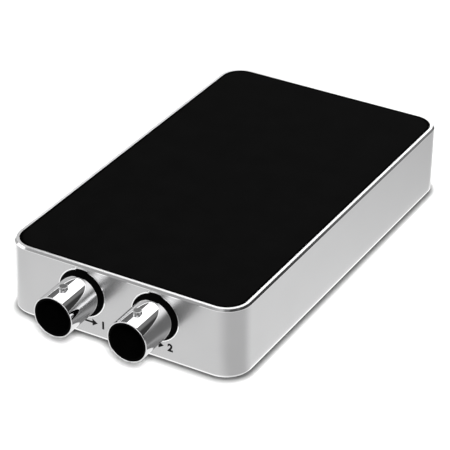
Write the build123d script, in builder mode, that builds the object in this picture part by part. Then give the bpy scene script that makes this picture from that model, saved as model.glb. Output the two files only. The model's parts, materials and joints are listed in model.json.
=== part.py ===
from build123d import *
from math import cos, radians, sin
import os

os.makedirs("parts", exist_ok=True)

# Flat box with two bayonet video jacks on the front, in millimetres.
# +Z is up, the jacks look towards -Y, and the origin is under the middle of the whole part.

# Housing
housing_length = 100.0
housing_width = 58.4
housing_height = 17.0
corner_radius = 6.0
side_wall = 2.0
deck_thickness = 1.05
top_chamfer = 0.43
base_chamfer = 0.25
rim_width = 0.62

# Top panel
panel_thickness = 0.7
panel_gap = 0.06
panel_sink = 0.04
glue_thickness = 0.1
glue_inset = 1.5

# Bottom cover, feet and screws
cover_thickness = 1.5
cover_ledge = 0.9
cover_gap = 0.1
foot_stand = 0.6
foot_sink = 0.4
foot_radius = 4.0
foot_gap = 0.1
foot_chamfer = 0.2
foot_inset = 11.5
boss_radius = 2.8
boss_wall_gap = 0.8
screw_radius = 1.0
screw_length = 8.0
screw_head_radius = 1.9
screw_head_height = 1.1
screw_gap = 0.1
thread_gap = 0.04
drive_slot_width = 0.5
drive_slot_length = 2.0
drive_slot_depth = 0.6
tap_overrun = 1.0

# Circuit board
board_thickness = 1.6
board_lift = 0.7
board_gap = 0.6
solder_length = 0.4
lead_gap = 0.1

# Video jacks
jack_spacing = 18.4
jack_drop = 6.85
jack_reach = 11.2
barrel_radius = 4.83
barrel_lip = 0.14
collar_radius = 5.64
collar_stand = 1.0
collar_land = 0.2
collar_slack = 0.05
collar_key_turn = 28.0
collar_key_slack = 1.0
collar_key_rise = 0.18
collar_key_reach = 0.25
collar_key_drop = 0.35
stud_radius = 0.95
stud_span = 11.0
stud_depth = 4.4
stud_chamfer = 0.12
neck_radius = 3.4
neck_grip = 4.5
neck_chamfer = 0.3
plug_bore_radius = 4.065
liner_wall = 0.335
liner_seat_depth = 5.4
liner_relief = 0.18
liner_lip_radius = 4.68
liner_lip_depth = 0.4
liner_floor = 0.3
bore_depth = 9.0
insulator_radius = 2.8
insulator_length = 10.0
socket_radius = 1.1
socket_bore_radius = 0.68
socket_recess = 5.8
socket_bore_depth = 3.4
socket_grip = 1.0
socket_slot_width = 0.25
contact_radius = 0.8
contact_tail_radius = 0.4
contact_tail_run = 1.6
contact_tail_bend = 1.1
jack_fit = 0.04
hole_gap = 0.1
jack_body_width = 11.6
jack_body_depth = 8.4
jack_body_chamfer = 0.7
jack_body_headroom = 0.3
tail_slot_width = 3.0
tail_slot_depth = 3.2
leg_radius = 0.5
leg_inset = 1.3

# Data socket
usb_width = 12.04
usb_depth = 16.3
usb_sheet = 0.35
usb_headroom = 0.3
usb_sink = 0.2
usb_gap = 0.15
usb_low_width = 8.45
usb_low_share = 0.747
usb_high_width = 5.6
usb_floor = 0.2
usb_cavity_depth = 12.4
usb_tongue_recess = 4.4
usb_tongue_width = 5.6
usb_tongue_height = 3.2
usb_blade_width = 4.6
usb_blade_height = 1.1
usb_contact_width = 0.6
usb_contact_thick = 0.15
usb_contact_length = 5.5
usb_contact_setback = 0.6
usb_contact_pitch = 2.5
usb_fine_width = 0.4
usb_fine_pitch = 0.9
usb_tab_width = 2.0
usb_tab_setback = 5.0
usb_fit = 0.05

# Sound sockets
sound_body_width = 6.0
sound_body_depth = 12.0
sound_axis_height = 2.9
sound_bore_radius = 1.8
sound_bore_depth = 10.6
sound_sleeve_radius = 2.5
sound_sleeve_grip = 1.6
sound_sleeve_sink = 0.1
sound_sleeve_chamfer = 0.2
sound_fit = 0.04
sound_body_corner = 0.4
spring_thick = 0.25
spring_height = 1.6
spring_length = 6.4
spring_setback = 2.6
spring_clear = 0.06

# Status lights
light_pitch = 2.6
light_height = 10.15
pipe_radius = 0.75
pipe_bend = 2.2
pipe_run = 5.5
pipe_bar_height = 1.6
pipe_bar_depth = 1.2
pipe_gap = 0.06
pipe_sink = 0.05
pipe_post_width = 0.8
lamp_width = 1.6
lamp_depth = 0.8
lamp_thick = 0.6
lamp_gap = 0.1

# Gaps along the back: left boss, data socket, two sound sockets, lights, right boss
rear_gaps = [5.28, 1.98, 1.3, 1.4, 0.8]

# Chips and other parts on the board
processor_size = 19.0
processor_thick = 1.5
pad_thickness = 1.0
pad_inset = 1.5
memory_width = 9.0
memory_length = 13.0
memory_thick = 1.1
usb_chip_size = 9.0
chip_thick = 0.9
video_chip_size = 4.0
codec_size = 5.0
flash_width = 6.0
flash_length = 5.0
regulator_size = 3.0
coil_size = 4.0
coil_thick = 2.4
crystal_width = 3.2
crystal_length = 5.0
bead_width = 1.6
bead_length = 0.8
bead_thick = 0.7
can_radius = 2.0
can_height = 4.6
can_base_size = 4.3
can_base_height = 0.8
can_edge = 0.3
shield_width = 11.0
shield_length = 14.0
shield_height = 2.6
shield_sheet = 0.25
shield_corner = 0.6
vent_radius = 0.5
vent_pitch = 2.4
vent_columns = 4
vent_rows = 5

# Places on the board, as shares of its half width and half length from its middle
memory_shares = [(0.69, -0.16), (0.69, 0.16)]
usb_chip_shares = [(-0.36, 0.42)]
receiver_shares = [(0.346, -0.62)]
driver_shares = [(-0.346, -0.66)]
codec_shares = [(0.2, 0.55)]
flash_shares = [(0.62, 0.5)]
regulator_shares = [(-0.5, -0.56), (-0.5, -0.4), (-0.5, -0.24)]
coil_shares = [(-0.67, -0.56), (-0.67, -0.4), (-0.67, -0.24)]
can_shares = [(-0.87, -0.56), (-0.87, -0.4), (-0.87, -0.24), (-0.87, -0.08)]
crystal_shares = [(-0.68, 0.42), (0.68, -0.44)]
bead_shares = [(x / 8, y) for x in (-2.5, -1.5, -0.5, 0.5, 1.5, 2.5) for y in (-0.36, -0.28, 0.28)]

# Places that follow from the sizes above
front_y = -(housing_length + jack_reach) / 2
wall_y = front_y + jack_reach
back_y = wall_y + housing_length
middle_y = (wall_y + back_y) / 2
base_z = foot_stand
top_z = base_z + housing_height
recess_inset = top_chamfer + rim_width
recess_depth = panel_thickness + glue_thickness + panel_sink
ceiling_z = top_z - recess_depth - deck_thickness
cover_top_z = base_z + cover_thickness
board_bottom_z = cover_top_z + board_lift
board_top_z = board_bottom_z + board_thickness
jack_z = top_z - jack_drop
jack_xs = {"thru": -jack_spacing / 2, "input": jack_spacing / 2}
inner_front_y = wall_y + side_wall
inner_back_y = back_y - side_wall
screw_inset = side_wall + boss_wall_gap + boss_radius
screw_x = housing_width / 2 - screw_inset
screw_y = housing_length / 2 - screw_inset
screw_places = [(sx * screw_x, middle_y + sy * screw_y) for sx in (-1, 1) for sy in (-1, 1)]
foot_x = housing_width / 2 - foot_inset
foot_y = housing_length / 2 - foot_inset
foot_places = [(sx * foot_x, middle_y + sy * foot_y) for sx in (-1, 1) for sy in (-1, 1)]
board_width = housing_width - 2 * (side_wall + board_gap)
board_length = housing_length - 2 * (side_wall + board_gap)
board_corner = corner_radius - side_wall - board_gap
barrel_end_y = wall_y - collar_stand
neck_end_y = inner_front_y + neck_grip
jack_body_back_y = inner_front_y + jack_body_depth
jack_body_top_z = ceiling_z - jack_body_headroom
insulator_front_y = front_y + bore_depth - liner_floor
insulator_back_y = insulator_front_y + insulator_length
tail_y = insulator_back_y + contact_tail_run
leg_x = jack_body_width / 2 - leg_inset
rear_room = 2 * (screw_x - boss_radius)
rear_widths = [usb_width, sound_body_width, sound_body_width, 2 * light_pitch + lamp_width]
rear_stretch = (rear_room - sum(rear_widths)) / sum(rear_gaps)
rear_xs = []
rear_end = -rear_room / 2
for rear_gap, rear_width in zip(rear_gaps, rear_widths):
    rear_end += rear_gap * rear_stretch + rear_width
    rear_xs.append(rear_end - rear_width / 2)
usb_x, mic_x, line_x, light_x = rear_xs
sound_xs = {"mic": mic_x, "line": line_x}
light_xs = [light_x + step * light_pitch for step in (-1, 0, 1)]
leg_ys = (inner_front_y + leg_inset, jack_body_back_y - leg_inset)
usb_back_y = back_y - usb_sink
usb_top_z = ceiling_z - usb_headroom
usb_height = usb_top_z - board_top_z
usb_low_z = board_top_z + usb_sheet + usb_floor
usb_high_top_z = usb_top_z - usb_sheet - usb_floor
usb_join_z = usb_low_z + usb_low_share * (usb_high_top_z - usb_low_z)
sound_z = board_top_z + sound_axis_height
sound_body_height = 2 * sound_axis_height
light_z = base_z + light_height
pipe_y = back_y - pipe_run
lamp_top_z = board_top_z + lamp_thick
bore_end_y = front_y + bore_depth
stud_y = front_y + stud_depth
liner_radius = plug_bore_radius + liner_wall
stud_root = (liner_radius + barrel_radius) / 2
key_floor = barrel_radius - collar_key_drop
contact_step_y = insulator_front_y + socket_grip
socket_y = front_y + socket_recess
socket_slot_length = socket_bore_depth - socket_slot_width
sleeve_back_y = back_y - sound_sleeve_sink
spring_end_y = inner_back_y - sound_sleeve_grip - spring_setback - spring_length
usb_shoulder_z = usb_join_z - (usb_low_width - usb_high_width) / 2
usb_mouth_points = [
    (usb_x - usb_low_width / 2, usb_low_z),
    (usb_x + usb_low_width / 2, usb_low_z),
    (usb_x + usb_low_width / 2, usb_shoulder_z),
    (usb_x + usb_high_width / 2, usb_join_z),
    (usb_x + usb_high_width / 2, usb_high_top_z),
    (usb_x - usb_high_width / 2, usb_high_top_z),
    (usb_x - usb_high_width / 2, usb_join_z),
    (usb_x - usb_low_width / 2, usb_shoulder_z),
]
usb_tongue_z = (usb_low_z + usb_join_z) / 2
usb_blade_z = (usb_join_z + usb_high_top_z) / 2
usb_tab_x = (usb_width - usb_sheet) / 2
usb_tab_places = [(usb_x + side * usb_tab_x, usb_back_y - usb_tab_setback) for side in (-1, 1)]


def upright(y):
    """Sketch plane that stands across the box at y: its x is X, its y is Z, its normal is -Y."""
    return Plane.XZ.offset(-y)


def level(z):
    """Sketch plane at height z."""
    return Plane.XY.offset(z)


def section(x, z, turn=0):
    """Half plane of a round piece along Y: its x is Y, its y is the distance from the axis at x, z.

    With no turn it stands straight up, and a turn in degrees tips it towards +X.
    """
    return Plane(origin=(x, 0, z), x_dir=(0, 1, 0), z_dir=(cos(radians(turn)), 0, -sin(radians(turn))))


def board_places(shares):
    """Places on the board, from shares of its half width and half length."""
    return [(sx * board_width / 2, middle_y + sy * board_length / 2) for sx, sy in shares]


# One-piece aluminium housing, open below: walls, deck, rim, bosses, heat post and cut-outs
with BuildPart() as housing:
    with BuildSketch(level(base_z)):
        with Locations((0, middle_y)):
            RectangleRounded(housing_width, housing_length, corner_radius)
    extrude(amount=housing_height)
    chamfer(housing.faces().sort_by(Axis.Z)[-1].edges(), length=top_chamfer)
    chamfer(housing.faces().sort_by(Axis.Z)[0].edges(), length=base_chamfer)
    # recess for the top panel
    with BuildSketch(level(top_z)):
        with Locations((0, middle_y)):
            RectangleRounded(
                housing_width - 2 * recess_inset,
                housing_length - 2 * recess_inset,
                corner_radius - recess_inset,
            )
    extrude(amount=-recess_depth, mode=Mode.SUBTRACT)
    # inside space
    with BuildSketch(level(base_z)):
        with Locations((0, middle_y)):
            RectangleRounded(
                housing_width - 2 * side_wall,
                housing_length - 2 * side_wall,
                corner_radius - side_wall,
            )
    extrude(amount=ceiling_z - base_z, mode=Mode.SUBTRACT)
    # ledge that takes the bottom cover
    with BuildSketch(level(base_z)):
        with Locations((0, middle_y)):
            RectangleRounded(
                housing_width - 2 * cover_ledge,
                housing_length - 2 * cover_ledge,
                corner_radius - cover_ledge,
            )
    extrude(amount=cover_thickness, mode=Mode.SUBTRACT)
    # corner bosses, down to the board
    with BuildSketch(level(board_top_z)):
        with Locations(*screw_places):
            Circle(boss_radius)
    extrude(amount=ceiling_z - board_top_z)
    # post that carries the processor's heat to the deck
    with BuildSketch(level(board_top_z + processor_thick + pad_thickness)):
        with Locations((0, middle_y)):
            RectangleRounded(processor_size, processor_size, pad_inset)
    extrude(amount=ceiling_z - board_top_z - processor_thick - pad_thickness)
    # threaded holes for the cover screws
    with BuildSketch(level(board_top_z)):
        with Locations(*screw_places):
            Circle(screw_radius + thread_gap)
    extrude(amount=base_z + screw_length + tap_overrun - board_top_z, mode=Mode.SUBTRACT)
    # jack holes in the front wall
    with BuildSketch(upright(wall_y)):
        with Locations(*[(x, jack_z) for x in jack_xs.values()]):
            Circle(neck_radius + hole_gap)
    extrude(amount=-side_wall, mode=Mode.SUBTRACT)
    # data socket opening in the back wall
    with BuildSketch(upright(back_y)):
        with Locations((usb_x, (board_top_z + usb_top_z) / 2)):
            RectangleRounded(usb_width + 2 * usb_gap, usb_height + 2 * usb_gap, usb_gap)
    extrude(amount=side_wall, mode=Mode.SUBTRACT)
    # sound socket and light holes in the back wall
    with BuildSketch(upright(back_y)):
        with Locations(*[(x, sound_z) for x in sound_xs.values()]):
            Circle(sound_sleeve_radius + hole_gap)
        with Locations(*[(x, light_z) for x in light_xs]):
            Circle(pipe_radius + pipe_gap)
    extrude(amount=side_wall, mode=Mode.SUBTRACT)
housing.part.label = "housing"
export_step(housing.part, "parts/housing.step")

# Black top panel in its recess
with BuildPart() as top_panel:
    with BuildSketch(level(top_z - panel_sink)):
        with Locations((0, middle_y)):
            RectangleRounded(
                housing_width - 2 * (recess_inset + panel_gap),
                housing_length - 2 * (recess_inset + panel_gap),
                corner_radius - recess_inset - panel_gap,
            )
    extrude(amount=-panel_thickness)
top_panel.part.label = "top_panel"
export_step(top_panel.part, "parts/top_panel.step")

# Glue sheet between the panel and the deck
with BuildPart() as panel_adhesive:
    with BuildSketch(level(top_z - recess_depth)):
        with Locations((0, middle_y)):
            RectangleRounded(
                housing_width - 2 * (recess_inset + glue_inset),
                housing_length - 2 * (recess_inset + glue_inset),
                corner_radius - recess_inset - glue_inset,
            )
    extrude(amount=glue_thickness)
panel_adhesive.part.label = "panel_adhesive"
export_step(panel_adhesive.part, "parts/panel_adhesive.step")

# Bottom cover with countersunk screw holes and shallow seats for the feet
with BuildPart() as bottom_cover:
    with BuildSketch(level(base_z)):
        with Locations((0, middle_y)):
            RectangleRounded(
                housing_width - 2 * (cover_ledge + cover_gap),
                housing_length - 2 * (cover_ledge + cover_gap),
                corner_radius - cover_ledge - cover_gap,
            )
    extrude(amount=cover_thickness)
    with BuildSketch(level(base_z)):
        with Locations(*foot_places):
            Circle(foot_radius + foot_gap)
    extrude(amount=foot_sink, mode=Mode.SUBTRACT)
    with BuildSketch(level(base_z)):
        with Locations(*screw_places):
            Circle(screw_radius + screw_gap)
    extrude(amount=cover_thickness, mode=Mode.SUBTRACT)
    for place in screw_places:
        with Locations((place[0], place[1], base_z)):
            Cone(
                screw_head_radius + screw_gap,
                screw_radius + screw_gap,
                screw_head_height,
                align=(Align.CENTER, Align.CENTER, Align.MIN),
                mode=Mode.SUBTRACT,
            )
bottom_cover.part.label = "bottom_cover"
export_step(bottom_cover.part, "parts/bottom_cover.step")

# Four countersunk screws: cover, spacer and board, up into the bosses
with BuildPart() as cover_screws:
    for place in screw_places:
        with Locations((place[0], place[1], base_z)):
            Cone(
                screw_head_radius,
                screw_radius,
                screw_head_height,
                align=(Align.CENTER, Align.CENTER, Align.MIN),
            )
            Cylinder(screw_radius, screw_length, align=(Align.CENTER, Align.CENTER, Align.MIN))
    with BuildSketch(level(base_z)):
        with Locations(*screw_places):
            Rectangle(drive_slot_length, drive_slot_width)
            Rectangle(drive_slot_width, drive_slot_length)
    extrude(amount=drive_slot_depth, mode=Mode.SUBTRACT)
cover_screws.part.label = "cover_screws"
export_step(cover_screws.part, "parts/cover_screws.step")

# Four thin washers that hold the board off the cover
with BuildPart() as board_spacers:
    with BuildSketch(level(cover_top_z)):
        with Locations(*screw_places):
            Circle(boss_radius)
        with Locations(*screw_places):
            Circle(screw_radius + screw_gap, mode=Mode.SUBTRACT)
    extrude(amount=board_lift)
board_spacers.part.label = "board_spacers"
export_step(board_spacers.part, "parts/board_spacers.step")

# Four rubber feet
with BuildPart() as feet:
    with BuildSketch(level(0)):
        with Locations(*foot_places):
            Circle(foot_radius)
    extrude(amount=foot_stand + foot_sink)
    chamfer(feet.faces().group_by(Axis.Z)[0].edges(), length=foot_chamfer)
feet.part.label = "feet"
export_step(feet.part, "parts/feet.step")

# Circuit board with its screw holes and lead holes
with BuildPart() as main_board:
    with BuildSketch(level(board_bottom_z)):
        with Locations((0, middle_y)):
            RectangleRounded(board_width, board_length, board_corner)
        with Locations(*screw_places):
            Circle(screw_radius + screw_gap, mode=Mode.SUBTRACT)
        for jack_x in jack_xs.values():
            with Locations(*[(jack_x + side * leg_x, y) for side in (-1, 1) for y in leg_ys]):
                Circle(leg_radius + lead_gap, mode=Mode.SUBTRACT)
            with Locations((jack_x, tail_y)):
                Circle(contact_tail_radius + lead_gap, mode=Mode.SUBTRACT)
        with Locations(*usb_tab_places):
            Rectangle(usb_sheet + 2 * lead_gap, usb_tab_width + 2 * lead_gap, mode=Mode.SUBTRACT)
    extrude(amount=board_thickness)
main_board.part.label = "main_board"
export_step(main_board.part, "parts/main_board.step")

# The two bayonet jacks, piece by piece
for jack_name, jack_x in jack_xs.items():
    jack_axis = Axis((jack_x, 0, jack_z), (0, 1, 0))

    # Plated barrel with its two studs, and the neck that screws into the body inside
    with BuildPart() as jack_barrel:
        with BuildSketch(section(jack_x, jack_z)):
            with BuildLine():
                Polyline(
                    (front_y, liner_lip_radius + jack_fit),
                    (front_y, barrel_radius - barrel_lip / 2),
                    (front_y + barrel_lip, barrel_radius),
                    (barrel_end_y, barrel_radius),
                    (barrel_end_y, neck_radius),
                    (neck_end_y - neck_chamfer, neck_radius),
                    (neck_end_y, neck_radius - neck_chamfer),
                    (neck_end_y, insulator_radius + jack_fit),
                    (bore_end_y, insulator_radius + jack_fit),
                    (bore_end_y, liner_radius + jack_fit),
                    (front_y + liner_lip_depth, liner_radius + jack_fit),
                    (front_y + liner_lip_depth, liner_lip_radius + jack_fit),
                    close=True,
                )
            make_face()
        revolve(axis=jack_axis)
        # bayonet studs above and below
        for side in (-1, 1):
            with BuildSketch(Plane.YZ.offset(jack_x)):
                with BuildLine():
                    Polyline(
                        (stud_y, jack_z + side * stud_root),
                        (stud_y + stud_radius, jack_z + side * stud_root),
                        (stud_y + stud_radius, jack_z + side * (stud_span / 2 - stud_chamfer)),
                        (stud_y + stud_radius - stud_chamfer, jack_z + side * stud_span / 2),
                        (stud_y, jack_z + side * stud_span / 2),
                        close=True,
                    )
                make_face()
            revolve(axis=Axis((jack_x, stud_y, 0), (0, 0, 1)))
        # notch that takes the collar's key
        with BuildSketch(section(jack_x, jack_z, -collar_key_turn / 2 - collar_key_slack)):
            with BuildLine():
                Polyline(
                    (barrel_end_y - collar_key_reach - jack_fit, key_floor - jack_fit),
                    (barrel_end_y - collar_key_reach - jack_fit, collar_radius),
                    (barrel_end_y, collar_radius),
                    (barrel_end_y, key_floor - jack_fit),
                    close=True,
                )
            make_face()
        revolve(
            axis=jack_axis,
            revolution_arc=collar_key_turn + 2 * collar_key_slack,
            mode=Mode.SUBTRACT,
        )
    jack_barrel.part.label = jack_name + "_jack_barrel"
    export_step(jack_barrel.part, "parts/" + jack_name + "_jack_barrel.step")

    # Black lining of the barrel: a lip over the mouth's edge, the plug's bore, a relief and a floor
    with BuildPart() as jack_liner:
        with BuildSketch(section(jack_x, jack_z)):
            with BuildLine():
                Polyline(
                    (front_y, plug_bore_radius),
                    (front_y, liner_lip_radius),
                    (front_y + liner_lip_depth, liner_lip_radius),
                    (front_y + liner_lip_depth, liner_radius),
                    (bore_end_y, liner_radius),
                    (bore_end_y, insulator_radius + jack_fit),
                    (insulator_front_y, insulator_radius + jack_fit),
                    (insulator_front_y, plug_bore_radius + liner_relief),
                    (front_y + liner_seat_depth, plug_bore_radius + liner_relief),
                    (front_y + liner_seat_depth, plug_bore_radius),
                    close=True,
                )
            make_face()
        revolve(axis=jack_axis)
    jack_liner.part.label = jack_name + "_jack_liner"
    export_step(jack_liner.part, "parts/" + jack_name + "_jack_liner.step")

    # Insulator that carries the centre contact
    with BuildPart() as jack_insulator:
        with BuildSketch(section(jack_x, jack_z)):
            with BuildLine():
                Polyline(
                    (insulator_front_y, socket_radius + jack_fit),
                    (insulator_front_y, insulator_radius),
                    (insulator_back_y, insulator_radius),
                    (insulator_back_y, contact_radius + jack_fit),
                    (contact_step_y, contact_radius + jack_fit),
                    (contact_step_y, socket_radius + jack_fit),
                    close=True,
                )
            make_face()
        revolve(axis=jack_axis)
    jack_insulator.part.label = jack_name + "_jack_insulator"
    export_step(jack_insulator.part, "parts/" + jack_name + "_jack_insulator.step")

    # Centre contact: slotted socket in front, and a tail that bends down through the board
    with BuildPart() as jack_contact:
        with BuildSketch(section(jack_x, jack_z)):
            with BuildLine():
                Polyline(
                    (socket_y, socket_bore_radius),
                    (socket_y, socket_radius),
                    (contact_step_y, socket_radius),
                    (contact_step_y, contact_radius),
                    (insulator_back_y, contact_radius),
                    (insulator_back_y, 0),
                    (socket_y + socket_bore_depth, 0),
                    (socket_y + socket_bore_depth, socket_bore_radius),
                    close=True,
                )
            make_face()
        revolve(axis=jack_axis)
        with BuildSketch(upright(socket_y)):
            with Locations((jack_x, jack_z)):
                Rectangle(2 * socket_radius, socket_slot_width)
                Rectangle(socket_slot_width, 2 * socket_radius)
        extrude(amount=-socket_slot_length, mode=Mode.SUBTRACT)
        with BuildLine(Plane.YZ.offset(jack_x)) as tail_path:
            FilletPolyline(
                (insulator_back_y - contact_tail_radius, jack_z),
                (tail_y, jack_z),
                (tail_y, board_bottom_z - solder_length),
                radius=contact_tail_bend,
            )
        with BuildSketch(upright(insulator_back_y - contact_tail_radius)):
            with Locations((jack_x, jack_z)):
                Circle(contact_tail_radius)
        sweep(path=tail_path.line)
    jack_contact.part.label = jack_name + "_jack_contact"
    export_step(jack_contact.part, "parts/" + jack_name + "_jack_contact.step")

    # Black collar that flares from the barrel's shoulder to the wall, keyed into the barrel at the top
    with BuildPart() as jack_collar:
        with BuildSketch(section(jack_x, jack_z)):
            with BuildLine():
                Polyline(
                    (wall_y, neck_radius + jack_fit),
                    (wall_y, collar_radius),
                    (wall_y - collar_land, collar_radius),
                    (barrel_end_y, barrel_radius - collar_slack),
                    (barrel_end_y, neck_radius + jack_fit),
                    close=True,
                )
            make_face()
        revolve(axis=jack_axis)
        with BuildSketch(section(jack_x, jack_z, -collar_key_turn / 2)):
            with BuildLine():
                Polyline(
                    (wall_y, key_floor),
                    (wall_y, collar_radius + collar_key_rise),
                    (wall_y - collar_land, collar_radius + collar_key_rise),
                    (barrel_end_y - collar_key_reach, barrel_radius - collar_slack),
                    (barrel_end_y - collar_key_reach, key_floor),
                    close=True,
                )
            make_face()
        revolve(axis=jack_axis, revolution_arc=collar_key_turn)
    jack_collar.part.label = jack_name + "_jack_collar"
    export_step(jack_collar.part, "parts/" + jack_name + "_jack_collar.step")

    # Die-cast body behind the wall, with its neck thread, tail slot and four solder legs
    with BuildPart() as jack_body:
        with BuildSketch(upright(inner_front_y)):
            with Locations((jack_x, board_top_z)):
                Rectangle(
                    jack_body_width,
                    jack_body_top_z - board_top_z,
                    align=(Align.CENTER, Align.MIN),
                )
        extrude(amount=-jack_body_depth)
        chamfer(jack_body.faces().sort_by(Axis.Z)[-1].edges(), length=jack_body_chamfer)
        with BuildSketch(upright(inner_front_y)):
            with Locations((jack_x, jack_z)):
                Circle(neck_radius + jack_fit)
        extrude(amount=-neck_grip, mode=Mode.SUBTRACT)
        with BuildSketch(upright(inner_front_y)):
            with Locations((jack_x, jack_z)):
                Circle(insulator_radius + jack_fit)
        extrude(amount=-jack_body_depth, mode=Mode.SUBTRACT)
        with BuildSketch(upright(jack_body_back_y)):
            with Locations((jack_x, board_top_z)):
                Rectangle(tail_slot_width, jack_z - board_top_z, align=(Align.CENTER, Align.MIN))
        extrude(amount=tail_slot_depth, mode=Mode.SUBTRACT)
        with BuildSketch(level(board_top_z)):
            with Locations(*[(jack_x + side * leg_x, y) for side in (-1, 1) for y in leg_ys]):
                Circle(leg_radius)
        extrude(amount=-board_thickness - solder_length)
    jack_body.part.label = jack_name + "_jack_body"
    export_step(jack_body.part, "parts/" + jack_name + "_jack_body.step")

# Data socket: metal shell with the keyed mouth in its front plate
with BuildPart() as usb_shell:
    with BuildSketch(upright(usb_back_y)):
        with Locations((usb_x, board_top_z)):
            Rectangle(usb_width, usb_height, align=(Align.CENTER, Align.MIN))
    extrude(amount=usb_depth)
    with BuildSketch(upright(usb_back_y - usb_sheet)):
        with Locations((usb_x, board_top_z + usb_sheet)):
            Rectangle(
                usb_width - 2 * usb_sheet,
                usb_height - 2 * usb_sheet,
                align=(Align.CENTER, Align.MIN),
            )
    extrude(amount=usb_depth - usb_sheet, mode=Mode.SUBTRACT)
    with BuildSketch(upright(usb_back_y)):
        with BuildLine():
            Polyline(*usb_mouth_points, close=True)
        make_face()
    extrude(amount=usb_sheet, mode=Mode.SUBTRACT)
    with BuildSketch(level(board_top_z)):
        with Locations(*usb_tab_places):
            Rectangle(usb_sheet, usb_tab_width)
    extrude(amount=-board_thickness - solder_length)
usb_shell.part.label = "usb_shell"
export_step(usb_shell.part, "parts/usb_shell.step")

# Data socket: plastic block with the cavity, the square tongue and the thin upper blade
with BuildPart() as usb_insulator:
    with BuildSketch(upright(usb_back_y - usb_sheet)):
        with Locations((usb_x, board_top_z + usb_sheet + usb_fit)):
            Rectangle(
                usb_width - 2 * (usb_sheet + usb_fit),
                usb_height - 2 * (usb_sheet + usb_fit),
                align=(Align.CENTER, Align.MIN),
            )
    extrude(amount=usb_depth - usb_sheet)
    with BuildSketch(upright(usb_back_y - usb_sheet)):
        with BuildLine():
            Polyline(*usb_mouth_points, close=True)
        make_face()
    extrude(amount=usb_cavity_depth - usb_sheet, mode=Mode.SUBTRACT)
    with BuildSketch(upright(usb_back_y - usb_tongue_recess)):
        with Locations((usb_x, usb_tongue_z)):
            Rectangle(usb_tongue_width, usb_tongue_height)
        with Locations((usb_x, usb_blade_z)):
            Rectangle(usb_blade_width, usb_blade_height)
    extrude(amount=usb_cavity_depth - usb_tongue_recess)
usb_insulator.part.label = "usb_insulator"
export_step(usb_insulator.part, "parts/usb_insulator.step")

# Data socket: nine flat contacts, two above and two below the tongue and five under the blade
with BuildPart() as usb_contacts:
    with BuildSketch(upright(usb_back_y - usb_tongue_recess - usb_contact_setback)):
        for side in (-1, 1):
            low_z = usb_tongue_z + side * (usb_tongue_height + usb_contact_thick) / 2
            with Locations(*[(usb_x + step * usb_contact_pitch / 2, low_z) for step in (-1, 1)]):
                Rectangle(usb_contact_width, usb_contact_thick)
        fine_z = usb_blade_z - (usb_blade_height + usb_contact_thick) / 2
        with Locations(*[(usb_x + step * usb_fine_pitch, fine_z) for step in (-2, -1, 0, 1, 2)]):
            Rectangle(usb_fine_width, usb_contact_thick)
    extrude(amount=usb_contact_length)
usb_contacts.part.label = "usb_contacts"
export_step(usb_contacts.part, "parts/usb_contacts.step")

# The two sound sockets, piece by piece
for sound_name, sound_x in sound_xs.items():
    sound_axis = Axis((sound_x, 0, sound_z), (0, 1, 0))

    # Plastic body with the plug's bore, the sleeve's pocket and two side slots for the springs
    with BuildPart() as sound_body:
        with BuildSketch(level(board_top_z)):
            with Locations((sound_x, inner_back_y)):
                Rectangle(sound_body_width, sound_body_depth, align=(Align.CENTER, Align.MAX))
        extrude(amount=sound_body_height)
        fillet(sound_body.edges().filter_by(Axis.Z), radius=sound_body_corner)
        with BuildSketch(upright(inner_back_y)):
            with Locations((sound_x, sound_z)):
                Circle(sound_bore_radius)
        extrude(amount=sound_bore_depth, mode=Mode.SUBTRACT)
        with BuildSketch(upright(inner_back_y)):
            with Locations((sound_x, sound_z)):
                Circle(sound_sleeve_radius + sound_fit)
        extrude(amount=sound_sleeve_grip, mode=Mode.SUBTRACT)
        with BuildSketch(level(sound_z - spring_height / 2 - spring_clear)):
            with Locations((sound_x, spring_end_y)):
                Rectangle(
                    sound_body_width,
                    spring_length + spring_clear,
                    align=(Align.CENTER, Align.MIN),
                )
        extrude(amount=spring_height + 2 * spring_clear, mode=Mode.SUBTRACT)
    sound_body.part.label = sound_name + "_socket_body"
    export_step(sound_body.part, "parts/" + sound_name + "_socket_body.step")

    # Plated sleeve that shows in the back wall
    with BuildPart() as sound_sleeve:
        with BuildSketch(section(sound_x, sound_z)):
            with BuildLine():
                Polyline(
                    (sleeve_back_y, sound_bore_radius + sound_sleeve_chamfer),
                    (sleeve_back_y, sound_sleeve_radius),
                    (inner_back_y - sound_sleeve_grip, sound_sleeve_radius),
                    (inner_back_y - sound_sleeve_grip, sound_bore_radius),
                    (sleeve_back_y - sound_sleeve_chamfer, sound_bore_radius),
                    close=True,
                )
            make_face()
        revolve(axis=sound_axis)
    sound_sleeve.part.label = sound_name + "_socket_sleeve"
    export_step(sound_sleeve.part, "parts/" + sound_name + "_socket_sleeve.step")

    # Leaf springs, one in each side slot, each with its root against the slot's inner end
    with BuildPart() as sound_springs:
        with BuildSketch(level(sound_z - spring_height / 2)):
            for side in (-1, 1):
                leaf_x = sound_x + side * (sound_bore_radius + spring_clear + spring_thick / 2)
                root_x = sound_x + side * (sound_bore_radius + spring_clear + sound_body_width / 2) / 2
                with Locations((leaf_x, spring_end_y)):
                    Rectangle(spring_thick, spring_length, align=(Align.CENTER, Align.MIN))
                with Locations((root_x, spring_end_y)):
                    Rectangle(
                        sound_body_width / 2 - sound_bore_radius - spring_clear,
                        spring_thick,
                        align=(Align.CENTER, Align.MIN),
                    )
        extrude(amount=spring_height)
    sound_springs.part.label = sound_name + "_socket_springs"
    export_step(sound_springs.part, "parts/" + sound_name + "_socket_springs.step")

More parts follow.
